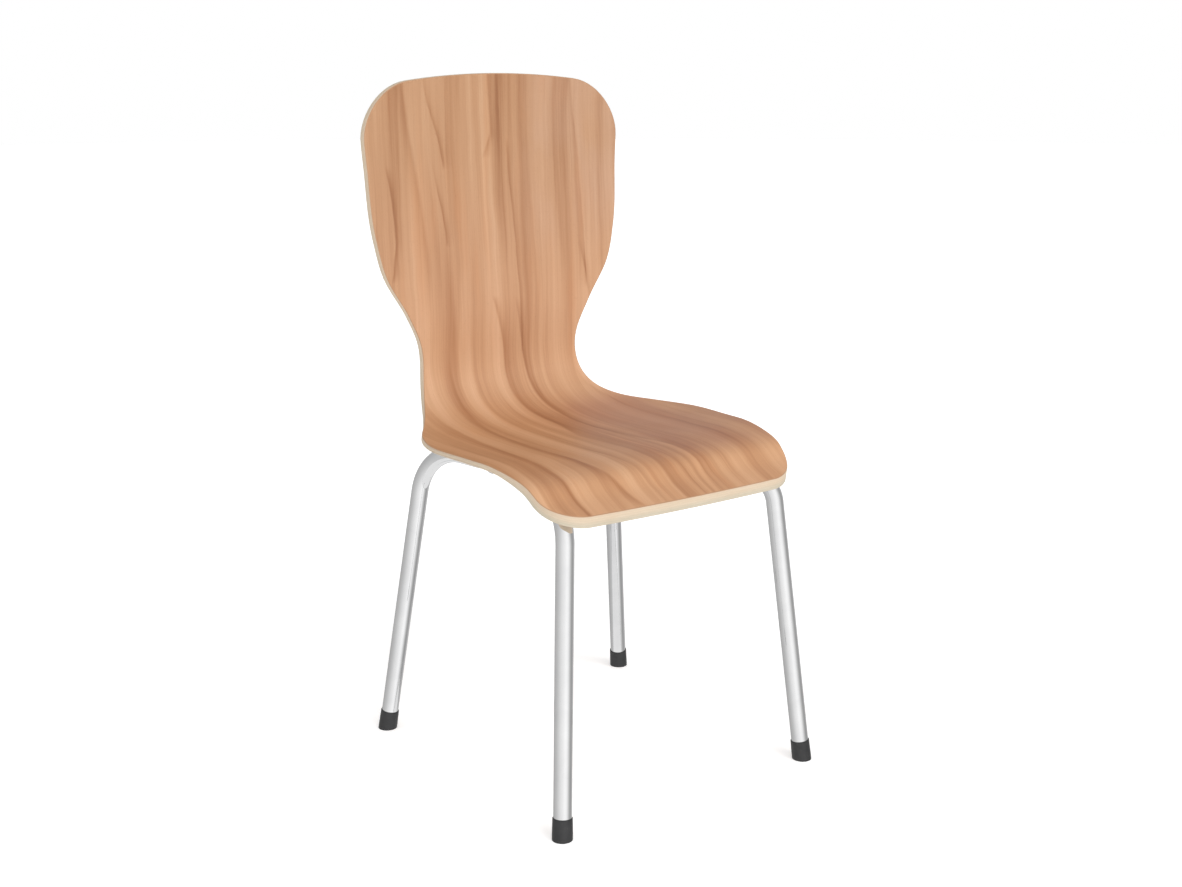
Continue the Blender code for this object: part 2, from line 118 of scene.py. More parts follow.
# Weld beads. A bead's axis stands off the surfaces that it joins by a share of its radius.
BEAD_SIDES = 12
BEAD_TAPER_MIN = 0.15
RIPPLE_HEIGHT = 0.00022
WELD_RADIUS = 0.0017
WELD_STAND_OFF = 0.35
WELD_STEPS = 108
WELD_RIPPLES = 26
TAB_WELD_RADIUS = 0.0013
TAB_WELD_STAND_OFF = 0.25
TAB_WELD_STEPS = 24
TAB_WELD_RIPPLES = 6
TAB_WELD_SPAN = 0.62            # length, as a share of the cross rail's width

# Ferrules
FERRULE_RADIUS = 0.0120
FERRULE_FOOT_RADIUS = 0.0124
FERRULE_HEIGHT = 0.026
FERRULE_FLOOR = 0.006
FERRULE_LIP = 0.0006
FERRULE_BORE = 0.0113
FERRULE_STEPS = 56
FERRULE_LIP_TURNS = (0.0, 30.0, 60.0, 90.0)
FERRULE_FLARE_STEPS = (0.04, 0.35, 0.70, 0.96, 1.0)

# Shading and rounding of edges
SHARP_ANGLE = 40                # degrees, above which an edge stays sharp
SHELL_SHARP_ANGLE = 50
FERRULE_SHARP_ANGLE = 50
SPACER_BEVEL = 0.0004
BUFFER_BEVEL = 0.0006
BEVEL_SEGMENTS = 2

# Veneer grain: lines per metre across and along the veneer, detail and roughness of the noise
GRAIN = {
    "broad": (24.0, 1.2, 1.0, 0.5),
    "zones": (52.0, 1.6, 1.0, 0.5),
    "medium": (120.0, 2.2, 3.0, 0.62),
    "fine": (520.0, 6.0, 3.0, 0.68),
    "hair": (1500.0, 16.0, 2.0, 0.6),
    "vessel": (300.0, 2.6, 2.0, 0.55),
}
# Noise levels between which these layers go from nothing to full
GRAIN_LEVELS = {"broad": (0.40, 0.60), "zones": (0.46, 0.56), "vessel": (0.58, 0.70)}
# How strongly the layers and streaks move the tone, from 0, the darkest wood, to 1, the palest
MEAN_TONE = 0.64
TONE_SHARES = (("broad", 0.16), ("zones", 0.13), ("medium", 0.38), ("fine", 0.28), ("hair", 0.14))
VESSEL_SHARE = -0.07
STREAK_SHARE = -0.33
# Slow and quick wander of the grain: scale across and along, detail, reach
GRAIN_WANDER = ((9.0, 5.0, 2.0, 0.010), (46.0, 30.0, 3.0, 0.0030))

# Each dark streak has a half width, the side that it fades out on (right of it 1, left of it -1),
# and (distance from the front edge, distance right of the middle, strength) knots.
STREAKS = (
    (0.0042, 1, ((0.700, -0.080, 0.0), (0.728, -0.083, 1.0), (0.762, -0.092, 0.9),
        (0.800, -0.103, 0.8), (0.822, -0.107, 0.6))),
    (0.0085, -1, ((0.500, -0.112, 0.0), (0.560, -0.110, 0.5), (0.640, -0.116, 0.8),
        (0.730, -0.128, 0.9), (0.822, -0.142, 0.8))),
    (0.0040, 1, ((0.560, -0.166, 0.0), (0.580, -0.162, 0.9), (0.620, -0.156, 0.8),
        (0.665, -0.160, 0.9), (0.710, -0.168, 0.1))),
    (0.0052, 1, ((0.712, -0.018, 0.0), (0.728, -0.012, 0.9), (0.750, -0.006, 1.1),
        (0.822, -0.007, 1.2))),
    (0.0150, 1, ((0.560, 0.008, 0.0), (0.690, 0.000, 0.55), (0.760, 0.004, 0.65),
        (0.822, 0.008, 0.7))),
    (0.0036, 1, ((0.400, 0.042, 0.3), (0.500, 0.032, 0.7), (0.600, 0.029, 0.8),
        (0.700, 0.022, 0.6), (0.740, 0.018, 0.0))),
    (0.0050, 1, ((0.360, 0.010, 0.2), (0.410, 0.006, 0.5), (0.460, 0.004, 0.9),
        (0.510, -0.007, 1.0), (0.532, -0.014, 0.0))),
    (0.0045, 1, ((0.400, 0.040, 0.4), (0.450, 0.036, 0.7), (0.490, 0.030, 0.6),
        (0.530, 0.022, 0.0))),
    (0.0034, -1, ((0.530, 0.140, 0.0), (0.570, 0.138, 1.0), (0.640, 0.136, 0.7),
        (0.720, 0.132, 0.4), (0.822, 0.122, 0.5))),
    (0.0045, 1, ((0.480, 0.148, 0.0), (0.545, 0.140, 0.8), (0.580, 0.133, 0.4),
        (0.600, 0.130, 0.0))),
    (0.0032, 1, ((0.600, -0.082, 0.0), (0.630, -0.084, 0.8), (0.690, -0.094, 0.5),
        (0.720, -0.098, 0.0))),
    (0.0120, -1, ((0.320, -0.076, 0.2), (0.450, -0.072, 0.5), (0.560, -0.080, 0.5),
        (0.640, -0.082, 0.2), (0.700, -0.088, 0.0))),
    (0.0085, -1, ((0.000, -0.138, 0.9), (0.120, -0.143, 0.9), (0.250, -0.134, 0.8),
        (0.390, -0.125, 0.5), (0.470, -0.118, 0.1))),
    (0.0080, -1, ((0.000, -0.062, 0.5), (0.030, -0.071, 1.0), (0.090, -0.086, 1.0),
        (0.180, -0.093, 0.9), (0.280, -0.088, 0.8), (0.400, -0.080, 0.5), (0.470, -0.084, 0.1))),
    (0.0080, 1, ((0.000, 0.002, 0.7), (0.110, 0.001, 0.6), (0.220, -0.003, 0.9),
        (0.300, 0.010, 0.9), (0.400, 0.006, 0.6))),
    (0.0075, 1, ((0.000, 0.052, 0.9), (0.100, 0.056, 1.0), (0.180, 0.046, 0.9),
        (0.280, 0.040, 0.8), (0.350, 0.044, 0.9), (0.420, 0.040, 0.4))),
    (0.0038, -1, ((0.000, 0.030, 0.2), (0.060, 0.028, 0.7), (0.160, 0.022, 0.6),
        (0.280, 0.026, 0.3), (0.330, 0.028, 0.0))),
    (0.0065, -1, ((0.000, 0.138, 0.9), (0.120, 0.140, 0.8), (0.240, 0.142, 0.6),
        (0.340, 0.140, 0.6), (0.420, 0.118, 0.2))),
    (0.0042, 1, ((0.000, 0.098, 0.5), (0.060, 0.096, 0.6), (0.180, 0.098, 0.3),
        (0.300, 0.094, 0.2))),
    (0.0040, 1, ((0.000, -0.030, 0.3), (0.080, -0.036, 0.5), (0.200, -0.046, 0.3),
        (0.330, -0.044, 0.2))),
    (0.0050, 1, ((0.000, -0.176, 0.6), (0.120, -0.178, 0.5), (0.240, -0.176, 0.3),
        (0.300, -0.170, 0.0))),
)
BACK_STREAKS = (
    (0.0090, 1, ((0.000, -0.120, 0.7), (0.250, -0.132, 0.6), (0.450, -0.098, 0.6),
        (0.822, -0.118, 0.7))),
    (0.0070, -1, ((0.000, -0.020, 0.8), (0.200, -0.034, 0.7), (0.450, -0.028, 0.6),
        (0.822, -0.040, 0.8))),
    (0.0045, 1, ((0.000, 0.060, 0.6), (0.220, 0.072, 0.9), (0.450, 0.050, 0.7),
        (0.822, 0.064, 0.6))),
    (0.0075, -1, ((0.000, 0.140, 0.6), (0.250, 0.150, 0.6), (0.500, 0.118, 0.4),
        (0.822, 0.150, 0.8))),
    (0.0040, 1, ((0.420, -0.070, 0.0), (0.560, -0.072, 0.9), (0.700, -0.064, 0.8),
        (0.822, -0.078, 0.4))),
    (0.0042, -1, ((0.400, 0.010, 0.2), (0.540, 0.018, 0.9), (0.690, 0.008, 0.7),
        (0.780, 0.016, 0.0))),
)
STREAK_REACH = 0.25             # furthest that a streak may lie from the middle
STREAK_PEAK = 2.0               # greatest strength of a streak
STREAK_CRISP = (-0.60, 0.15)    # where its crisp side starts and ends, in half widths
STREAK_FADE = 0.8               # how quickly its other side fades

# Painted light and shade along the face (lighter front edge and bend, darker seat and upper back),
# and tone changes along the underside: (distance from the front edge, share of red, green and blue)
FACE_PAINTED_SHADING = (
    (0.000, (1.00, 0.99, 0.94)), (0.050, (1.00, 0.99, 0.93)), (0.095, (0.88, 0.84, 0.77)),
    (0.190, (0.87, 0.84, 0.77)), (0.310, (0.92, 0.90, 0.83)), (0.386, (1.01, 1.05, 1.06)),
    (0.440, (1.03, 1.08, 1.09)), (0.510, (0.98, 1.01, 1.02)), (0.610, (0.87, 0.89, 0.89)),
    (0.720, (0.80, 0.81, 0.78)), (0.822, (0.78, 0.78, 0.74)),
)
BACK_TONES = (
    (0.000, (0.90, 0.88, 0.84)), (0.300, (0.86, 0.85, 0.80)), (0.500, (0.90, 0.90, 0.88)),
    (0.822, (0.84, 0.83, 0.79)),
)
SANDED_UNDER = 0.030            # pale margin under the front edge, where it is sanded back
SANDED_BLUR = 0.004
# Shares of red, green and blue in patches of the seat's and the back's right side, and in warm
# lines all over
SEAT_TINT = (0.84, 0.75, 0.775)
UPPER_TINT = (1.03, 1.09, 1.23)
WARM_TINT = (1.03, 0.93, 0.84)

# Plywood edge
PLY = 0.00133                   # thickness of one layer
PLY_WAVE = 0.00022
FACE_CUT = (0.00045, 0.00075)   # depths between which the face veneer's cut ends
LOWER_EDGE_SHADE_DEPTHS = (0.0040, 0.0110)   # depths between which painted shade darkens the lower part of the edge
# shares of red, green and blue of the painted shade on the edge's lower part
LOWER_EDGE_SHADE_TINT = (0.86, 0.94, 0.98)

# Camera, on the chair's front left
CAMERA_PLACE = Vector((-1.1860, -1.6351, 0.8984))
CAMERA_HEADING = 36.06          # degrees right of +Y
CAMERA_PITCH = 13.737           # degrees down
SENSOR_WIDTH = 36.0
LENS = 49.86
CLIP = (0.05, 100.0)

# Studio
AMBIENT = 0.52
# Name: (degrees right of the chair's front, degrees up, strength, softness in degrees)
LIGHTS = {
    "key_light": (6.0, 34.0, 1.55, 50.0),
    "fill_light": (-60.0, 40.0, 0.35, 70.0),
}
FLOOR_GLOW = 0.42
FLOOR_LEVEL = -0.0001
FLOOR_RADIUS = 14.0
FLOOR_SIDES = 96
BACKDROP_RADIUS = 22.0
BACKDROP_DETAIL = 4
RING_RADIUS = 4.0
RING_HEIGHTS = (-2.6, 4.2)
RING_SIDES = 120
FLOOR_CARD_SHARE = 0.98         # radius of the card below, as a share of the ring's
FLOOR_CARD_LIGHT = 0.92         # brightness that the chrome sees below it
# Brightness that the chrome sees round it: (degrees right of the camera's own side, value)
RING_LIGHT = (
    (-180, 0.54), (-140, 0.50), (-95, 0.57), (-62, 0.70), (-28, 0.90), (2, 1.04), (26, 1.14),
    (46, 1.04), (66, 0.74), (86, 0.45), (106, 0.40), (128, 0.52), (180, 0.64),
)


# ---------------------------------------------------------------- mesh helpers

def add_object(name, data):
    obj = bpy.data.objects.new(name, data)
    bpy.context.scene.collection.objects.link(obj)
    return obj


def mesh_from(bm, name):
    mesh = bpy.data.meshes.new(name)
    bm.to_mesh(mesh)
    bm.free()
    return mesh


def circle_turns(sides):
    return [2.0 * math.pi * k / sides for k in range(sides)]


def add_ring(bm, centre, u, v, radius, sides):
    return [bm.verts.new(centre + (u * math.cos(turn) + v * math.sin(turn)) * radius)
            for turn in circle_turns(sides)]


def bridge(bm, near, far):
    """Joins two rings of points with faces, or a lone point with a ring."""
    for k in range(len(far)):
        n = (k + 1) % len(far)
        if len(near) == 1:
            bm.faces.new((near[0], far[k], far[n]))
        else:
            bm.faces.new((near[k], near[n], far[n], far[k]))


# ---------------------------------------------------------------- shell form

def curve_through(knots, at):
    """Reads a smooth curve that passes through (position, value) knots."""
    positions, values = np.array(knots, float).T
    rates = np.gradient(values, positions)
    left = np.clip(np.searchsorted(positions, at, side="right") - 1, 0, len(positions) - 2)
    span = positions[left + 1] - positions[left]
    t = (at - positions[left]) / span
    ease = t * t * (3.0 - 2.0 * t)
    return ((1.0 - ease) * values[left] + ease * values[left + 1]
            + span * t * (1.0 - t) * ((1.0 - t) * rates[left] - t * rates[left + 1]))


def ease_between(low, high, at):
    t = np.clip((at - low) / (high - low), 0.0, 1.0)
    return t * t * (3.0 - 2.0 * t)


def trace_middle_line():
    step = SHELL_LENGTH / LINE_STEPS
    slopes = np.radians(curve_through(SLOPE_DEGREES, (np.arange(LINE_STEPS) + 0.5) * step))
    y = SHELL_FRONT.y + np.concatenate(([0.0], np.cumsum(step * np.cos(slopes))))
    z = SHELL_FRONT.z + np.concatenate(([0.0], np.cumsum(step * np.sin(slopes))))
    return np.column_stack((np.arange(LINE_STEPS + 1) * step, y, z))


def line_normal(along):
    """The face's upward direction on the middle line."""
    slope = np.radians(curve_through(SLOPE_DEGREES, along))
    return np.stack((np.zeros_like(slope), -np.sin(slope), np.cos(slope)), axis=-1)


def face_point(x, along):
    """Points on the shell's face, for flat-blank positions x and along."""
    inside = np.clip(along, 0.0, SHELL_LENGTH)
    y = np.interp(inside, middle_line[:, 0], middle_line[:, 1])
    z = np.interp(inside, middle_line[:, 0], middle_line[:, 2])
    normal = line_normal(inside)
    past = (along - inside)[..., None] * np.stack(
        (np.zeros_like(y), normal[..., 2], -normal[..., 1]), axis=-1)
    lift = HOLLOW * (x / SEAT_HALF_WIDTH) ** 2 * ease_between(*HOLLOW_ZONE, inside)
    return np.stack((x, y, z), axis=-1) + past + normal * lift[..., None]


def face_normal(x, along):
    across = face_point(x + NORMAL_REACH, along) - face_point(x - NORMAL_REACH, along)
    forward = face_point(x, along + NORMAL_REACH) - face_point(x, along - NORMAL_REACH)
    normal = np.cross(across, forward)
    return normal / np.linalg.norm(normal, axis=-1, keepdims=True)


def thickness_share(x, along):
    side = (np.abs(x) / SEAT_HALF_WIDTH) ** 3 * ease_between(*SIDE_THINNING_ZONE, along)
    back = ease_between(*BACK_THINNING_ZONE, along)
    return 1.0 - SIDE_THINNING * side * (1.0 - back) - BACK_THINNING * back


def through_point(x, along, depth):
    """The point below the face at that depth, where the front edge is trimmed upright."""
    normal = face_normal(x, along)
    upright = (1.0 - ease_between(0.0, FRONT_TRIM_ZONE, along))[..., None]
    through = normal * (1.0 - upright) + np.array((0.0, 0.0, 1.0)) * upright
    through /= np.linalg.norm(through, axis=-1, keepdims=True)
    travel = depth / (through * normal).sum(axis=-1)
    return face_point(x, along) - through * travel[..., None]


def blank_grid(inset):
    """Flat-blank positions (x, along) of a grid that stays inset from the blank's outline."""
    turns = np.radians(np.linspace(0.0, 90.0, CORNER_ROWS, endpoint=False))
    front_radius, top_radius = FRONT_CORNER_RADIUS - inset, TOP_CORNER_RADIUS - inset
    front = inset + front_radius * (1.0 - np.cos(turns))
    top = SHELL_LENGTH - inset - top_radius * (1.0 - np.cos(turns))
    middle = np.linspace(FRONT_CORNER_RADIUS, SHELL_LENGTH - TOP_CORNER_RADIUS, MIDDLE_ROWS + 1)
    rows = np.concatenate((front, middle, top[::-1]))
    widths = curve_through(HALF_WIDTHS, rows) - inset
    for radius, distance in ((front_radius, rows - inset),
                             (top_radius, SHELL_LENGTH - inset - rows)):
        reach = np.clip(radius - distance, 0.0, radius)
        widths -= radius - np.sqrt(np.maximum(radius ** 2 - reach ** 2, 0.0))
    shares = np.linspace(-1.0, 1.0, COLUMNS + 1)
    x = widths[:, None] * shares[None, :]
    along = np.repeat(rows[:, None], COLUMNS + 1, axis=1)
    side = (x / BACK_HALF_WIDTH) ** 2
    along = along + FRONT_BOW * side * (1.0 - ease_between(0.0, FRONT_BOW_FADE, along))
    along = along - TOP_CROWN * side * ease_between(
        SHELL_LENGTH - TOP_CROWN_FADE, SHELL_LENGTH, along)
    return x, along


def rim_indices(rows, columns):
    """Grid positions round the outline, once round, starting at the front left."""
    front = [(0, c) for c in range(columns)]
    right = [(r, columns - 1) for r in range(1, rows)]
    top = [(rows - 1, c) for c in range(columns - 2, -1, -1)]
    left = [(r, 0) for r in range(rows - 2, 0, -1)]
    return front + right + top + left


def rim_profile():
    """(inset, depth, share of full thickness) down the shell's edge, face side to underside."""
    turns = np.radians(np.linspace(0.0, 90.0, EDGE_TURNS + 1))
    rounding = [(EDGE_RADIUS * (1.0 - math.sin(t)), EDGE_RADIUS * (1.0 - math.cos(t)))
                for t in turns]
    upper = [(inset, depth, 0.0) for inset, depth in rounding]
    strip = EDGE_RADIUS + EDGE_MARGIN / 2.0
    levels = [(0.0, strip, 0.0)]
    levels += [(0.0, 0.0, (level + 1.0) / (RIM_LEVELS + 1.0)) for level in range(RIM_LEVELS)]
    levels += [(0.0, -strip, 1.0)]
    lower = [(inset, -depth, 1.0) for inset, depth in rounding[::-1]]
    return upper + levels + lower


def build_shell():
    """The moulded blank, with a face, an underside and a sanded edge of their own materials."""
    field = EDGE_RADIUS + EDGE_MARGIN
    x, along = blank_grid(field)
    rows, columns = x.shape
    rim = rim_indices(rows, columns)
    rim_rows, rim_columns = np.array(rim).T
    full = SHELL_THICKNESS * thickness_share(x, along)
    face = face_point(x, along)
    back = through_point(x, along, full)
    points = [face.reshape(-1, 3), back.reshape(-1, 3)]
    rings = []
    ring_places = []
    start = 2 * rows * columns
    for inset, depth, share in rim_profile():
        ring_x, ring_along = (values[rim_rows, rim_columns] for values in blank_grid(inset))
        ring_full = SHELL_THICKNESS * thickness_share(ring_x, ring_along)
        ring_depth = depth + share * ring_full
        points.append(through_point(ring_x, ring_along, ring_depth))
        rings.append(np.arange(start, start + len(rim)))
        ring_places.append((ring_x, ring_along, ring_depth))
        start += len(rim)
    points = np.concatenate(points)

    outline_x, outline_along, _ = ring_places[EDGE_TURNS]
    steps = np.hypot(np.diff(outline_x, append=outline_x[:1]),
                     np.diff(outline_along, append=outline_along[:1]))
    travelled = np.concatenate(([0.0], np.cumsum(steps)))

    faces, uvs, slots = [], [], []
    index = np.arange(rows * columns).reshape(rows, columns)
    for r in range(rows - 1):
        for c in range(columns - 1):
            quad = ((r, c), (r, c + 1), (r + 1, c + 1), (r + 1, c))
            spots = [(x[q], along[q]) for q in quad]
            faces.append([index[q] for q in quad])
            uvs.append(spots)
            slots.append(FACE)
            faces.append([index[q] + rows * columns for q in quad[::-1]])
            uvs.append(spots[::-1])
            slots.append(UNDERSIDE)
    face_ring = index[rim_rows, rim_columns]
    loops = [face_ring] + rings + [face_ring + rows * columns]
    grid_place = (x[rim_rows, rim_columns], along[rim_rows, rim_columns],
                  full[rim_rows, rim_columns])
    for level, (upper, lower) in enumerate(zip(loops, loops[1:])):
        flat_strip = level in (0, len(loops) - 2)
        for i in range(len(rim)):
            j = (i + 1) % len(rim)
            faces.append([upper[i], lower[i], lower[j], upper[j]])
            if flat_strip:
                ring_x, ring_along, _ = ring_places[0 if level == 0 else -1]
                near = [(grid_place[0][k], grid_place[1][k]) for k in (i, j)]
                far = [(ring_x[k], ring_along[k]) for k in (i, j)]
                uppers, lowers = (near, far) if level == 0 else (far, near)
                uvs.append([uppers[0], lowers[0], lowers[1], uppers[1]])
                slots.append(FACE if level == 0 else UNDERSIDE)
            else:
                above, below = ring_places[level - 1][2], ring_places[level][2]
                uvs.append([(travelled[i], above[i]), (travelled[i], below[i]),
                            (travelled[i + 1], below[j]), (travelled[i + 1], above[j])])
                slots.append(RIM)

    mesh = bpy.data.meshes.new("shell_ply")
    mesh.from_pydata(points.tolist(), [], [[int(v) for v in f] for f in faces])
    layer = mesh.uv_layers.new(name="blank")
    layer.data.foreach_set("uv", np.array([c for f in uvs for s in f for c in s], np.float32))
    mesh.polygons.foreach_set("material_index", slots)
    mesh.update()
    return mesh


def bored(obj):
    """Cuts the insert nuts' blind holes into the shell's underside."""
    cutters = []
    for end in ENDS:
        for side in SIDES.values():
            along = np.array(FASTENING_AT[end])
            x = np.array(side * FASTENING_X)
            normal = Vector(line_normal(along))
            origin = Vector(face_point(x, along)) - normal * SHELL_THICKNESS
            bm = bmesh.new()
            bmesh.ops.create_cone(bm, cap_ends=True, segments=BORE_SIDES, radius1=BORE_RADIUS,
                                  radius2=BORE_RADIUS, depth=2.0 * BORE_DEPTH)
            cutter = add_object("bore", mesh_from(bm, "bore"))
            turn = normal.to_track_quat("Z", "X").to_matrix().to_4x4()
            cutter.matrix_world = Matrix.Translation(origin) @ turn
            boolean = obj.modifiers.new("bore", "BOOLEAN")
            boolean.operation = "DIFFERENCE"
            boolean.object = cutter
            cutters.append(cutter)
    bpy.context.view_layer.update()
    evaluated = obj.evaluated_get(bpy.context.evaluated_depsgraph_get())
    mesh = bpy.data.meshes.new_from_object(evaluated)
    obj.modifiers.clear()
    obj.data = mesh
    for cutter in cutters:
        bpy.data.objects.remove(cutter, do_unlink=True)


# ---------------------------------------------------------------- tubes and turned pieces

def add_piece(name, mesh, materials, replaces=(), sharp_angle=SHARP_ANGLE):
    for material in materials:
        mesh.materials.append(material)
    mesh.shade_smooth()
    mesh.set_sharp_from_angle(angle=math.radians(sharp_angle))
    obj = add_object(name, mesh)
    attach(obj, "root")
    if replaces:
        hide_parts(*replaces)
    return obj


def corner_arc(before, corner, after, radius, steps):
    towards = (corner - before).normalized()
    away = (after - corner).normalized()
    turn = towards.angle(away)
    start = corner - towards * radius * math.tan(turn / 2.0)
    centre = corner + (away - towards).normalized() * radius / math.cos(turn / 2.0)
    axis = towards.cross(away).normalized()
    arm = start - centre
    return [centre + Matrix.Rotation(turn * index / steps, 3, axis) @ arm
            for index in range(steps + 1)]


def leg_axis(end, side):
    foot, shoulder = {
        "front": (FRONT_FOOT, FRONT_SHOULDER), "rear": (REAR_FOOT, REAR_SHOULDER)}[end]
    axis = (shoulder - foot).normalized()
    return Vector((SIDES[side] * axis.x, axis.y, axis.z))


def side_frame_path(side):
    corners = [FRONT_FOOT, FRONT_SHOULDER, RAIL_MIDDLE, REAR_SHOULDER, REAR_FOOT]
    corners = [Vector((SIDES[side] * point.x, point.y, point.z)) for point in corners]
    path = [corners[0] + leg_axis("front", side) * TUBE_END]
    for i, (radius, steps) in enumerate(zip(BEND_RADII, BEND_STEPS)):
        path += corner_arc(*corners[i:i + 3], radius, steps)
    return path + [corners[-1] + leg_axis("rear", side) * TUBE_END]


def carried_frames(path, closed=False):
    """Two crosswise directions at each point of a path, turned as little as possible."""
    count = len(path)
    tangents = []
    for i in range(count):
        before = path[i - 1] if i > 0 or closed else path[0]
        after = path[(i + 1) % count] if i < count - 1 or closed else path[-1]
        tangents.append((after - before).normalized())
    first = tangents[0].orthogonal().normalized()
    frames = []
    for i, tangent in enumerate(tangents):
        if i > 0:
            first = tangents[i - 1].rotation_difference(tangent) @ first
            first = (first - tangent * first.dot(tangent)).normalized()
        frames.append((first.copy(), tangent.cross(first)))
    return frames


def hollow_tube(path, radius, wall, sides):
    """A tube with an outer and an inner wall, joined by flat rings at its ends."""
    frames = carried_frames(path)
    bm = bmesh.new()
    outer, inner = ([add_ring(bm, point, u, v, reach, sides)
                     for point, (u, v) in zip(path, frames)] for reach in (radius, radius - wall))
    for rings in (outer, inner):
        for near, far in zip(rings, rings[1:]):
            bridge(bm, near, far)
    bridge(bm, outer[0], inner[0])
    bridge(bm, outer[-1], inner[-1])
    bmesh.ops.recalc_face_normals(bm, faces=bm.faces)
    return mesh_from(bm, "tube")


def rail_line(end, side):
    """A point on the rail's axis and its direction, beside the cross rail of that end."""
    shoulder = FRONT_SHOULDER if end == "front" else REAR_SHOULDER
    a = Vector((SIDES[side] * RAIL_MIDDLE.x, RAIL_MIDDLE.y, RAIL_MIDDLE.z))
    b = Vector((SIDES[side] * shoulder.x, shoulder.y, shoulder.z))
    return a, (b - a).normalized()


def coped_reach(end, side, y, z, clearance):
    """How far from the chair's middle a line along X meets the rail's surface."""
    point, direction = rail_line(end, side)
    reach = TUBE_RADIUS + clearance
    offset = Vector((-point.x, y - point.y, z - point.z))
    a = 1.0 - direction.x ** 2
    b = 2.0 * (offset.x - offset.dot(direction) * direction.x)
    c = offset.length_squared - offset.dot(direction) ** 2 - reach ** 2
    root = math.sqrt(max(b * b - 4.0 * a * c, 0.0))
    ends = ((-b - root) / (2.0 * a), (-b + root) / (2.0 * a))
    return min(ends, key=abs)


def coped_ring(end, side, y, z, radius, stand_off, sides):
    """Points round a line along X, where it ends at the rail's surface."""
    ring = []
    for turn in circle_turns(sides):
        py, pz = y + radius * math.cos(turn), z + radius * math.sin(turn)
        ring.append(Vector((coped_reach(end, side, py, pz, stand_off), py, pz)))
    return ring


def build_cross_rail(end):
    """A straight tube whose ends are coped to fit round the two rails, with its weld beads."""
    node = f"cross_rail_{end}"
    low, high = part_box(node)
    y, z = (low.y + high.y) / 2.0, (low.z + high.z) / 2.0
    bm = bmesh.new()
    walls = []
    for reach in (CROSS_RAIL_RADIUS, CROSS_RAIL_RADIUS - TUBE_WALL):
        rings = [coped_ring(end, side, y, z, reach, COPE_GAP, CROSS_RAIL_SIDES) for side in SIDES]
        walls.append([[bm.verts.new(point) for point in ring] for ring in rings])
    for left, right in walls:
        bridge(bm, left, right)
    for outer, inner in zip(*walls):
        bridge(bm, outer, inner)
    bmesh.ops.recalc_face_normals(bm, faces=bm.faces)
    add_piece(f"{node}_tube", mesh_from(bm, node), [chrome], (node,))
    stand_off = WELD_RADIUS * WELD_STAND_OFF
    for side in SIDES:
        path = coped_ring(end, side, y, z, CROSS_RAIL_RADIUS + stand_off, stand_off, WELD_STEPS)
        bead = weld_bead(path, WELD_RADIUS, closed=True, ripples=WELD_RIPPLES)
        add_piece(f"weld_{node}_{side}", bead, [weld])


def weld_bead(path, radius, closed, ripples):
    """A bead of weld along a path, with the ripples of its passes."""
    bm = bmesh.new()
    rings = []
    last = len(path) if closed else len(path) - 1
    for i, (point, (u, v)) in enumerate(zip(path, carried_frames(path, closed))):
        share = i / last
        swell = RIPPLE_HEIGHT * math.cos(2.0 * math.pi * ripples * share)
        taper = 1.0 if closed else max(1.0 - (2.0 * share - 1.0) ** 6, BEAD_TAPER_MIN)
        rings.append(add_ring(bm, point, u, v, (radius + swell) * taper, BEAD_SIDES))
    for near, far in zip(rings, rings[1:]):
        bridge(bm, near, far)
    if closed:
        near, far = rings[-1], rings[0]
        shift = min(range(BEAD_SIDES), key=lambda s: (far[s].co - near[0].co).length)
        bridge(bm, near, far[shift:] + far[:shift])
    else:
        bm.faces.new(rings[0][::-1])
        bm.faces.new(rings[-1])
    bmesh.ops.recalc_face_normals(bm, faces=bm.faces)
    return mesh_from(bm, "bead")


def build_tab_welds(end):
    """Short beads on both long sides of each tab, where it lies across the cross rail."""
    rail_low, rail_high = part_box(f"cross_rail_{end}")
    rail_y, rail_top = (rail_low.y + rail_high.y) / 2.0, rail_high.z
    for side in SIDES:
        low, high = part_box(f"mounting_tab_{end}_{side}")
        for edge, x in (("inner", low.x), ("outer", high.x)):
            path = []
            for k in range(TAB_WELD_STEPS + 1):
                y = (k / TAB_WELD_STEPS - 0.5) * 2.0 * CROSS_RAIL_RADIUS * TAB_WELD_SPAN
                drop = CROSS_RAIL_RADIUS - math.sqrt(CROSS_RAIL_RADIUS ** 2 - y ** 2)
                height = rail_top - drop + TAB_WELD_RADIUS * TAB_WELD_STAND_OFF
                path.append(Vector((x, rail_y + y, height)))
            bead = weld_bead(path, TAB_WELD_RADIUS, closed=False, ripples=TAB_WELD_RIPPLES)
            add_piece(f"weld_tab_{end}_{side}_{edge}", bead, [weld])


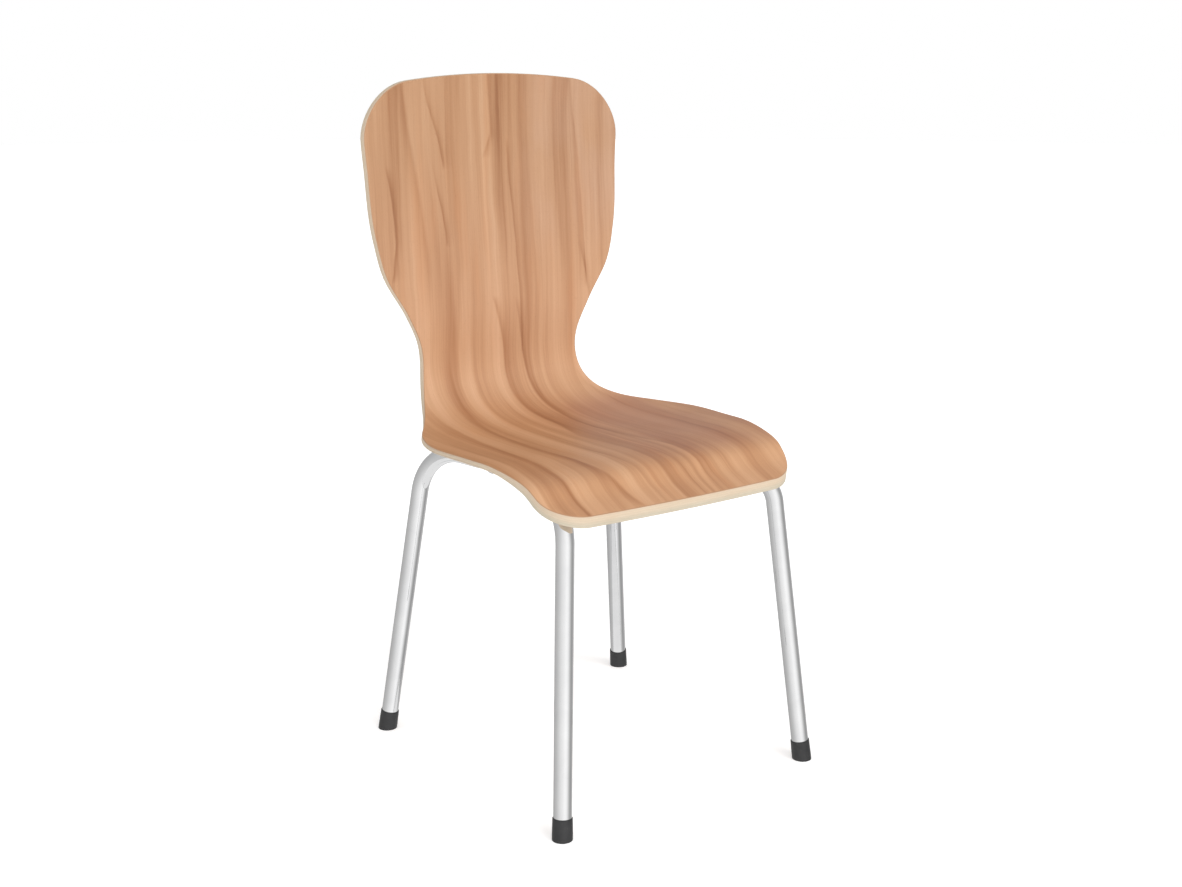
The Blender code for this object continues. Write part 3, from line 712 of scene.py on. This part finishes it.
def build_ferrule(end, side):
    """A moulded cup with a rounded lip and foot, cut flat where it stands on the floor."""
    foot = {"front": FRONT_FOOT, "rear": REAR_FOOT}[end]
    origin = Vector((SIDES[side] * foot.x, foot.y, foot.z))
    u, v, axis = leg_axis(end, side).to_track_quat("Z", "Y").to_matrix().col
    cup = [(0.0, FERRULE_FLOOR), (FERRULE_BORE, FERRULE_FLOOR), (FERRULE_BORE, FERRULE_HEIGHT)]
    lip = [(FERRULE_RADIUS - FERRULE_LIP * (1.0 - math.sin(turn)),
            FERRULE_HEIGHT - FERRULE_LIP * (1.0 - math.cos(turn)))
           for turn in np.radians(FERRULE_LIP_TURNS)]
    flare = [(FERRULE_RADIUS + (FERRULE_FOOT_RADIUS - FERRULE_RADIUS) * t,
              FERRULE_HEIGHT - FERRULE_LIP + (FERRULE_FLOOR + FERRULE_LIP - FERRULE_HEIGHT) * t)
             for t in FERRULE_FLARE_STEPS]
    foot_end = [(FERRULE_FOOT_RADIUS, 0.0), (FERRULE_FOOT_RADIUS, -FERRULE_FLOOR / 2.0)]
    bm = bmesh.new()
    rings = [[bm.verts.new(origin + axis * cup[0][1])]]
    rings += [add_ring(bm, origin + axis * height, u, v, radius, FERRULE_STEPS)
              for radius, height in cup[1:] + lip + flare + foot_end]
    for near, far in zip(rings, rings[1:]):
        bridge(bm, near, far)
    bmesh.ops.bisect_plane(
        bm, geom=bm.verts[:] + bm.edges[:] + bm.faces[:], plane_co=(0.0, 0.0, 0.0),
        plane_no=(0.0, 0.0, -1.0), clear_outer=True)
    bmesh.ops.holes_fill(bm, edges=[edge for edge in bm.edges if edge.is_boundary])
    bmesh.ops.recalc_face_normals(bm, faces=bm.faces)
    name = f"ferrule_{end}_{side}"
    add_piece(f"{name}_cup", mesh_from(bm, name), [rubber], (name,),
              sharp_angle=FERRULE_SHARP_ANGLE)


# ---------------------------------------------------------------- materials

def linear(*srgb):
    """A display colour, 0 to 255, as the linear colour that shaders take."""
    shares = [value / 255.0 for value in srgb]
    return tuple(s / 12.92 if s <= 0.04045 else ((s + 0.055) / 1.055) ** 2.4 for s in shares)


class Nodes:
    """Short names for the few nodes that the materials use."""

    def __init__(self, name):
        self.material = bpy.data.materials.new(name)
        self.material.use_nodes = True
        self.tree = self.material.node_tree
        self.shader = self.tree.nodes["Principled BSDF"]

    def feed(self, socket, value):
        if isinstance(value, bpy.types.NodeSocket):
            self.tree.links.new(value, socket)
        elif value is not None:
            socket.default_value = value

    def node(self, kind, **settings):
        made = self.tree.nodes.new(kind)
        for key, value in settings.items():
            setattr(made, key, value)
        return made

    def math(self, operation, a, b=None, c=None, clamp=False):
        made = self.node("ShaderNodeMath", operation=operation, use_clamp=clamp)
        for socket, value in zip(made.inputs, (a, b, c)):
            self.feed(socket, value)
        return made.outputs[0]

    def times(self, a, b):
        return self.math("MULTIPLY", a, b)

    def sway(self, pattern, reach, middle):
        """Moves a middle value up and down with a pattern that runs from 0 to 1."""
        return self.math("MULTIPLY_ADD", self.math("SUBTRACT", pattern, 0.5), reach, middle)

    def vector(self, x, y, z):
        made = self.node("ShaderNodeCombineXYZ")
        for socket, value in zip(made.inputs, (x, y, z)):
            self.feed(socket, value)
        return made.outputs[0]

    def scaled(self, x, y, scale_x, scale_y, z):
        return self.vector(self.times(x, scale_x), self.times(y, scale_y), z)

    def noise(self, vector, scale=1.0, detail=3.0, roughness=0.5, distortion=0.0):
        made = self.node("ShaderNodeTexNoise")
        self.feed(made.inputs["Vector"], vector)
        for key, value in (("Scale", scale), ("Detail", detail), ("Roughness", roughness),
                           ("Distortion", distortion)):
            made.inputs[key].default_value = value
        return made.outputs["Fac"]

    def spread(self, value, low, high, out_low=0.0, out_high=1.0):
        made = self.node("ShaderNodeMapRange", clamp=True, interpolation_type="SMOOTHSTEP")
        for socket, number in zip(made.inputs, (value, low, high, out_low, out_high)):
            self.feed(socket, number)
        return made.outputs[0]

    def curve(self, value, points):
        made = self.node("ShaderNodeFloatCurve")
        handles = made.mapping.curves[0].points
        while len(handles) < len(points):
            handles.new(0.5, 0.5)
        for handle, place in zip(handles, sorted(points)):
            handle.location = place
            handle.handle_type = "AUTO_CLAMPED"
        made.mapping.extend = "HORIZONTAL"
        made.mapping.update()
        self.feed(made.inputs["Value"], value)
        return made.outputs[0]

    def ramp(self, value, stops):
        made = self.node("ShaderNodeValToRGB")
        elements = made.color_ramp.elements
        while len(elements) < len(stops):
            elements.new(0.5)
        for element, (position, colour) in zip(elements, stops):
            element.position = position
            element.color = (*colour, 1.0)
        self.feed(made.inputs[0], value)
        return made.outputs[0]

    def blend(self, share, a, b, mode="MIX"):
        made = self.node("ShaderNodeMix", data_type="RGBA", blend_type=mode)
        self.feed(made.inputs[0], share)
        for socket, value in zip((made.inputs[6], made.inputs[7]), (a, b)):
            self.feed(socket, (*value, 1.0) if isinstance(value, tuple) else value)
        return made.outputs[2]

    def tint(self, share, colour, by):
        return self.blend(share, colour, self.blend(1.0, colour, by, "MULTIPLY"))

    def bump(self, height, distance, strength):
        made = self.node("ShaderNodeBump")
        made.inputs["Strength"].default_value = strength
        made.inputs["Distance"].default_value = distance
        self.feed(made.inputs["Height"], height)
        return made.outputs[0]

    def set(self, **values):
        for key, value in values.items():
            self.feed(self.shader.inputs[key.replace("_", " ")], value)


def blank_place(n):
    """Place in metres: across and along a face, or round and down through the shell's edge."""
    uv = n.node("ShaderNodeUVMap", uv_map="blank")
    split = n.node("ShaderNodeSeparateXYZ")
    n.feed(split.inputs[0], uv.outputs[0])
    return split.outputs[0], split.outputs[1]


def streak_total(n, x, along, streaks):
    """Adds up dark streaks along the veneer, each crisp on one side and fading on the other."""
    share = n.math("DIVIDE", along, SHELL_LENGTH)
    width = 2.0 * STREAK_REACH
    total = 0.0
    for half, fading, knots in streaks:
        middle = n.curve(share, [(a / SHELL_LENGTH, 0.5 + place / width) for a, place, _ in knots])
        strength = n.curve(share, [(a / SHELL_LENGTH, peak / STREAK_PEAK) for a, _, peak in knots])
        away = n.math("SUBTRACT", x, n.times(n.math("SUBTRACT", middle, 0.5), width))
        away = n.times(away, fading / half)
        fade = n.math("MAXIMUM", away, 0.0)
        fade = n.math("MULTIPLY_ADD", n.times(fade, fade), STREAK_FADE, 1.0)
        falloff = n.math("DIVIDE", n.times(strength, n.spread(away, *STREAK_CRISP)), fade)
        total = n.math("MULTIPLY_ADD", falloff, STREAK_PEAK, total)
    return total


def veneer(name, streaks, tone_shade_knots, seed, underside=False):
    """Clear-lacquered veneer whose grain runs from the front edge up to the top edge."""
    n = Nodes(name)
    x, along = blank_place(n)
    grain_x = x
    for across, lengthwise, detail, reach in GRAIN_WANDER:
        wander = n.noise(n.scaled(x, along, across, lengthwise, seed), detail=detail)
        grain_x = n.sway(wander, reach, grain_x)

    layers = {}
    for layer, (across, lengthwise, detail, roughness) in GRAIN.items():
        place = n.scaled(grain_x, along, across, lengthwise, seed)
        layers[layer] = n.noise(place, detail=detail, roughness=roughness)
        if layer in GRAIN_LEVELS:
            layers[layer] = n.spread(layers[layer], *GRAIN_LEVELS[layer])
    fine = layers["fine"]
    dark = n.times(streak_total(n, grain_x, along, streaks), n.spread(fine, 0.25, 0.62, 0.70, 1.10))
    tone = MEAN_TONE
    for layer, share in TONE_SHARES:
        tone = n.sway(layers[layer], share, tone)
    tone = n.math("MULTIPLY_ADD", layers["vessel"], VESSEL_SHARE, tone)
    tone = n.math("MULTIPLY_ADD", dark, STREAK_SHARE, tone, clamp=True)
    colour = n.ramp(tone, (
        (0.00, linear(150, 98, 66)), (0.25, linear(177, 124, 88)), (0.52, linear(201, 151, 114)),
        (0.76, linear(213, 165, 129)), (1.00, linear(227, 184, 150))))

    warm = n.noise(n.scaled(grain_x, along, 38.0, 4.0, seed + 7.0), detail=2.0)
    colour = n.tint(n.spread(warm, 0.52, 0.74, 0.0, 0.55), colour, WARM_TINT)
    if not underside:
        cloud = n.noise(n.scaled(grain_x, along, 13.0, 5.0, seed + 3.0), detail=3.0)
        patches = n.spread(cloud, 0.34, 0.56, 0.25, 1.0)
        seat = n.times(n.spread(along, 0.050, 0.100), n.spread(along, 0.320, 0.390, 1.0, 0.0))
        seat = n.times(seat, n.spread(grain_x, -0.030, 0.060))
        upper = n.times(n.spread(along, 0.560, 0.680), n.spread(grain_x, 0.015, 0.085))
        for zone, tint in ((seat, SEAT_TINT), (upper, UPPER_TINT)):
            colour = n.tint(n.times(zone, patches), colour, tint)
    # Multiplies in the changes along the sheet: painted light and shade on the face, tone changes
    # on the underside.
    tone_and_shade = n.ramp(n.math("DIVIDE", along, SHELL_LENGTH),
                     [(a / SHELL_LENGTH, share) for a, share in tone_shade_knots])
    colour = n.blend(1.0, colour, tone_and_shade, "MULTIPLY")
    if underside:
        ragged = n.sway(fine, SANDED_BLUR, along)
        sanded = n.spread(ragged, SANDED_UNDER, SANDED_UNDER + SANDED_BLUR, 0.9, 0.0)
        colour = n.blend(sanded, colour, linear(216, 198, 173))

    pore = n.noise(n.scaled(grain_x, along, 2600.0, 200.0, seed), detail=1.0)
    pores = n.spread(pore, 0.66, 0.76)
    colour = n.blend(n.times(pores, 0.30), colour, linear(120, 78, 52))
    gloss = n.noise(n.scaled(x, along, 26.0, 19.0, seed), detail=4.0)
    roughness = n.sway(fine, 0.10, n.sway(gloss, 0.10, 0.44))
    relief = n.math("MULTIPLY_ADD", layers["hair"], 0.5, n.math("SUBTRACT", fine, pores))
    n.set(Base_Color=colour, Roughness=roughness, Normal=n.bump(relief, 0.00006, 0.55),
          Specular_IOR_Level=0.32, Coat_Weight=0.06, Coat_Roughness=0.28)
    return n.material


def ply_edge(name):
    """The sanded edge: pale cross-laid plies, thin glue lines and a darker cut of face veneer."""
    n = Nodes(name)
    round_trip, depth = blank_place(n)
    wave = n.noise(n.vector(n.times(round_trip, 14.0), 0.0, 1.7), detail=2.0)
    level = n.sway(wave, PLY_WAVE, depth)
    plies = n.math("DIVIDE", level, PLY)
    lane = n.math("FRACT", plies)
    odd = n.math("MODULO", n.math("FLOOR", plies), 2.0)
    long_fibre = n.noise(n.scaled(round_trip, level, 60.0, 4200.0, 2.0), detail=3.0)
    end_fibre = n.noise(n.scaled(round_trip, level, 1500.0, 900.0, 5.0), detail=2.0)
    cloud = n.noise(n.scaled(round_trip, level, 22.0, 260.0, 9.0), detail=2.0)
    cream = n.ramp(long_fibre, ((0.25, linear(207, 184, 157)), (0.7, linear(221, 202, 179))))
    grey = n.ramp(end_fibre, ((0.25, linear(199, 178, 150)), (0.7, linear(214, 198, 174))))
    colour = n.blend(n.times(odd, 0.60), cream, grey)
    colour = n.blend(n.spread(cloud, 0.35, 0.75, 0.0, 0.25), colour, linear(202, 178, 149))
    # Painted shade: the lower part of the edge, which faces down, is tinted greyer and darker.
    colour = n.tint(n.spread(depth, *LOWER_EDGE_SHADE_DEPTHS), colour, LOWER_EDGE_SHADE_TINT)
    glue = n.spread(n.math("ABSOLUTE", n.math("SUBTRACT", lane, 0.5)), 0.44, 0.495)
    colour = n.blend(n.times(glue, 0.30), colour, linear(176, 140, 104))
    face_cut = n.spread(depth, *FACE_CUT, 1.0, 0.0)
    colour = n.blend(n.times(face_cut, 0.85), colour, linear(176, 130, 94))
    roughness = n.math("MULTIPLY_ADD", end_fibre, 0.16, 0.46)
    relief = n.math("ADD", n.times(end_fibre, odd), n.math("SUBTRACT", long_fibre, glue))
    n.set(Base_Color=colour, Roughness=roughness, Normal=n.bump(relief, 0.00005, 0.5))
    return n.material


def object_place(n):
    """Position in the row frame, as the chair is drawn at rest."""
    return n.node("ShaderNodeTexCoord").outputs["Object"]


def plated(name, dark, light, roughness, spread, bump, polish_scale):
    """A metal surface with slow tone changes, faint polishing lines and handling haze."""
    n = Nodes(name)
    place = object_place(n)
    haze = n.noise(place, scale=9.0, detail=3.0)
    polish = n.noise(place, scale=polish_scale, detail=4.0, roughness=0.6)
    smudge = n.noise(place, scale=34.0, detail=3.0, distortion=0.6)
    colour = n.ramp(n.math("MULTIPLY_ADD", smudge, 0.4, n.times(haze, 0.6)),
                    ((0.30, linear(*dark)), (0.70, linear(*light))))
    rough = n.math("MULTIPLY_ADD", n.spread(smudge, 0.45, 0.70), spread, roughness)
    rough = n.sway(polish, spread, rough)
    n.set(Base_Color=colour, Roughness=rough, Normal=n.bump(polish, bump, 0.35), Metallic=1.0)
    return n.material


def moulded(name, dark, light, roughness, grain_scale, bump):
    """Black moulding with a fine leather-like grain, worn smoother in places."""
    n = Nodes(name)
    place = object_place(n)
    grain = n.noise(place, scale=grain_scale, detail=3.0, roughness=0.6)
    cloud = n.noise(place, scale=70.0, detail=3.0)
    scuff = n.noise(place, scale=260.0, detail=4.0, distortion=1.2)
    colour = n.ramp(n.math("MULTIPLY_ADD", grain, 0.45, n.times(cloud, 0.55)),
                    ((0.32, linear(*dark)), (0.68, linear(*light))))
    colour = n.blend(n.spread(scuff, 0.62, 0.74, 0.0, 0.22), colour, linear(120, 118, 115))
    rough = n.sway(cloud, 0.16, roughness)
    n.set(Base_Color=colour, Roughness=rough, Normal=n.bump(grain, bump, 0.6))
    return n.material


def carry_over(prefix, material, bevel=None):
    """Gives the CAD's own pieces their finish, and rounds their sharp edges slightly."""
    for node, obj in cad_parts.items():
        if not node.startswith(prefix):
            continue
        obj.data.materials.clear()
        obj.data.materials.append(material)
        for polygon in obj.data.polygons:
            polygon.material_index = 0
        if bevel:
            modifier = obj.modifiers.new("rounded_edges", "BEVEL")
            modifier.width = bevel
            modifier.segments = BEVEL_SEGMENTS
            modifier.limit_method = "ANGLE"
            modifier.angle_limit = math.radians(SHARP_ANGLE)


# ---------------------------------------------------------------- studio

def add_stage(name, mesh, material, unseen_by):
    mesh.materials.append(material)
    obj = add_object(name, mesh)
    for ray in unseen_by:
        setattr(obj, f"visible_{ray}", False)
    return obj


def build_floor():
    n = Nodes("studio_floor")
    place = object_place(n)
    cloud = n.noise(place, scale=1.3, detail=3.0)
    speck = n.noise(place, scale=420.0, detail=2.0)
    colour = n.ramp(cloud, ((0.3, (0.90, 0.90, 0.90)), (0.7, (0.93, 0.93, 0.93))))
    n.set(Base_Color=colour, Roughness=0.85, Normal=n.bump(speck, 0.0001, 0.2),
          Specular_IOR_Level=0.1, Emission_Color=(1.0, 1.0, 1.0, 1.0),
          Emission_Strength=FLOOR_GLOW)
    bm = bmesh.new()
    bmesh.ops.create_circle(bm, cap_ends=True, segments=FLOOR_SIDES, radius=FLOOR_RADIUS)
    floor = add_stage("studio_floor", mesh_from(bm, "studio_floor"), n.material, ("glossy",))
    floor.location.z = FLOOR_LEVEL


def glowing(name, attribute=None):
    """A material that only gives light, as strong everywhere or as a mesh attribute says."""
    material = bpy.data.materials.new(name)
    material.use_nodes = True
    tree = material.node_tree
    tree.nodes.clear()
    emission = tree.nodes.new("ShaderNodeEmission")
    output = tree.nodes.new("ShaderNodeOutputMaterial")
    tree.links.new(emission.outputs[0], output.inputs["Surface"])
    if attribute:
        reader = tree.nodes.new("ShaderNodeAttribute")
        reader.attribute_name = attribute
        tree.links.new(reader.outputs["Fac"], emission.inputs["Strength"])
    return material


def build_backdrop():
    """A plain white surround that only the camera sees."""
    bm = bmesh.new()
    bmesh.ops.create_icosphere(bm, subdivisions=BACKDROP_DETAIL, radius=BACKDROP_RADIUS)
    backdrop = add_stage(
        "studio_backdrop", mesh_from(bm, "studio_backdrop"), glowing("studio_backdrop"),
        ("diffuse", "glossy", "transmission", "shadow"))


def build_reflection_ring():
    """The light and dark cards round a studio, which only polished surfaces see."""
    low, high = RING_HEIGHTS
    points, faces, values = [], [], []
    for k in range(RING_SIDES):
        degrees = -180.0 + 360.0 * k / RING_SIDES
        heading = math.radians(CAMERA_HEADING + 180.0 - degrees)
        spot = (RING_RADIUS * math.sin(heading), RING_RADIUS * math.cos(heading))
        points += [(*spot, low), (*spot, high)]
        values += [float(curve_through(RING_LIGHT, np.array(degrees)))] * 2
        n = (k + 1) % RING_SIDES
        faces.append((2 * k, 2 * n, 2 * n + 1, 2 * k + 1))
    points += [(FLOOR_CARD_SHARE * x, FLOOR_CARD_SHARE * y, z) for x, y, z in points[0::2]]
    values += [FLOOR_CARD_LIGHT] * RING_SIDES
    faces.append(tuple(range(2 * RING_SIDES, 3 * RING_SIDES)))
    mesh = bpy.data.meshes.new("studio_cards")
    mesh.from_pydata(points, [], faces)
    layer = mesh.attributes.new("light", "FLOAT", "POINT")
    layer.data.foreach_set("value", values)
    ring = add_stage("studio_cards", mesh, glowing("studio_cards", "light"),
                     ("camera", "diffuse", "transmission", "shadow", "volume_scatter"))


def build_lights():
    world = bpy.data.worlds.new("studio")
    bpy.context.scene.world = world
    world.use_nodes = True
    background = world.node_tree.nodes["Background"]
    background.inputs["Color"].default_value = (1.0, 1.0, 1.0, 1.0)
    background.inputs["Strength"].default_value = AMBIENT
    for name, (azimuth, elevation, strength, softness) in LIGHTS.items():
        data = bpy.data.lights.new(name, "SUN")
        data.energy = strength
        data.angle = math.radians(softness)
        light = add_object(name, data)
        a, e = math.radians(azimuth), math.radians(elevation)
        towards = Vector((math.sin(a) * math.cos(e), -math.cos(a) * math.cos(e), math.sin(e)))
        light.rotation_euler = towards.to_track_quat("Z", "Y").to_euler()
        light.visible_glossy = False


def build_camera():
    data = bpy.data.cameras.new("camera")
    data.sensor_fit = "HORIZONTAL"
    data.sensor_width = SENSOR_WIDTH
    data.lens = LENS
    data.clip_start, data.clip_end = CLIP
    camera = add_object("camera", data)
    camera.location = CAMERA_PLACE
    camera.rotation_euler = (
        math.radians(90.0 - CAMERA_PITCH), 0.0, math.radians(-CAMERA_HEADING))
    bpy.context.scene.camera = camera


face_veneer = veneer("face_veneer", STREAKS, FACE_PAINTED_SHADING, seed=4.0)
back_veneer = veneer("back_veneer", BACK_STREAKS, BACK_TONES, seed=11.0, underside=True)
edge_plies = ply_edge("ply_edge")
chrome = plated("chromed_tube", (223, 223, 224), (237, 237, 237), 0.05, 0.05, 0.00001, 700.0)
weld = plated("chromed_weld", (205, 205, 208), (226, 226, 228), 0.20, 0.10, 0.00008, 900.0)
zinc = plated("zinc_plate", (176, 178, 180), (206, 207, 206), 0.34, 0.12, 0.00004, 1600.0)
plastic = moulded("black_moulding", (34, 34, 36), (54, 54, 56), 0.46, 2400.0, 0.00008)
rubber = moulded("ferrule_moulding", (30, 30, 31), (48, 48, 49), 0.40, 2200.0, 0.00007)

middle_line = trace_middle_line()
shell = add_piece("shell_ply", build_shell(), [face_veneer, back_veneer, edge_plies],
                  ("shell",), SHELL_SHARP_ANGLE)
bored(shell)
shell_points = np.array([v.co for v in shell.data.vertices])
for corner, found in zip(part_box("shell"), (shell_points.min(0), shell_points.max(0))):
    if np.abs(np.array(corner) - found).max() > SHAPE_TOLERANCE:
        raise ValueError("the veneered shell doesn't match the CAD shell")

for side in SIDES:
    tube = hollow_tube(side_frame_path(side), TUBE_RADIUS, TUBE_WALL, TUBE_SIDES)
    node = f"side_frame_{side}"
    add_piece(f"{node}_tube", tube, [chrome], (node,))
for end in ENDS:
    build_cross_rail(end)
    build_tab_welds(end)
    for side in SIDES:
        build_ferrule(end, side)
carry_over("mounting_tab_", chrome)
for kind in ("washer_", "screw_", "insert_nut_"):
    carry_over(kind, zinc)
carry_over("spacer_", plastic, SPACER_BEVEL)
carry_over("stacking_buffer_", plastic, BUFFER_BEVEL)

build_floor()
build_backdrop()
build_reflection_ring()
build_lights()
build_camera()
bpy.context.scene.view_settings.view_transform = "Standard"
